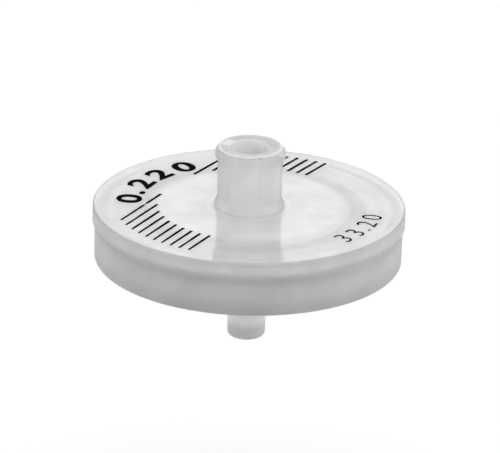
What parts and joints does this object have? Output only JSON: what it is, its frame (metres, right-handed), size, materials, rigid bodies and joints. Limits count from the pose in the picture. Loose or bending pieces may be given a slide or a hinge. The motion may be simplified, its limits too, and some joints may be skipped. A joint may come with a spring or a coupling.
{
  "type": "syringe filter",
  "caption": "Round syringe filter: milky plastic housing with a lugged inlet hub on top, a clamped white membrane inside and a tapered outlet nozzle below.",
  "frame": {"origin": "centre of the inlet's mouth, in the plane of its rim", "axes": "+Z along the flow axis, out of the inlet's mouth; the nozzle points down -Z; the lock lugs lie on +X and -X"},
  "size_m": [0.0332, 0.0332, 0.0215],
  "materials": {
    "housing": "moulded natural polypropylene, milky and lightly glossy",
    "membrane": "matt white filter membrane",
    "print_ink": "thin black pad-printed ink"
  },
  "bodies": {
    "root": {"inlet_housing": "housing", "membrane": "membrane", "outlet_housing": "housing"}
  },
  "joints": []
}
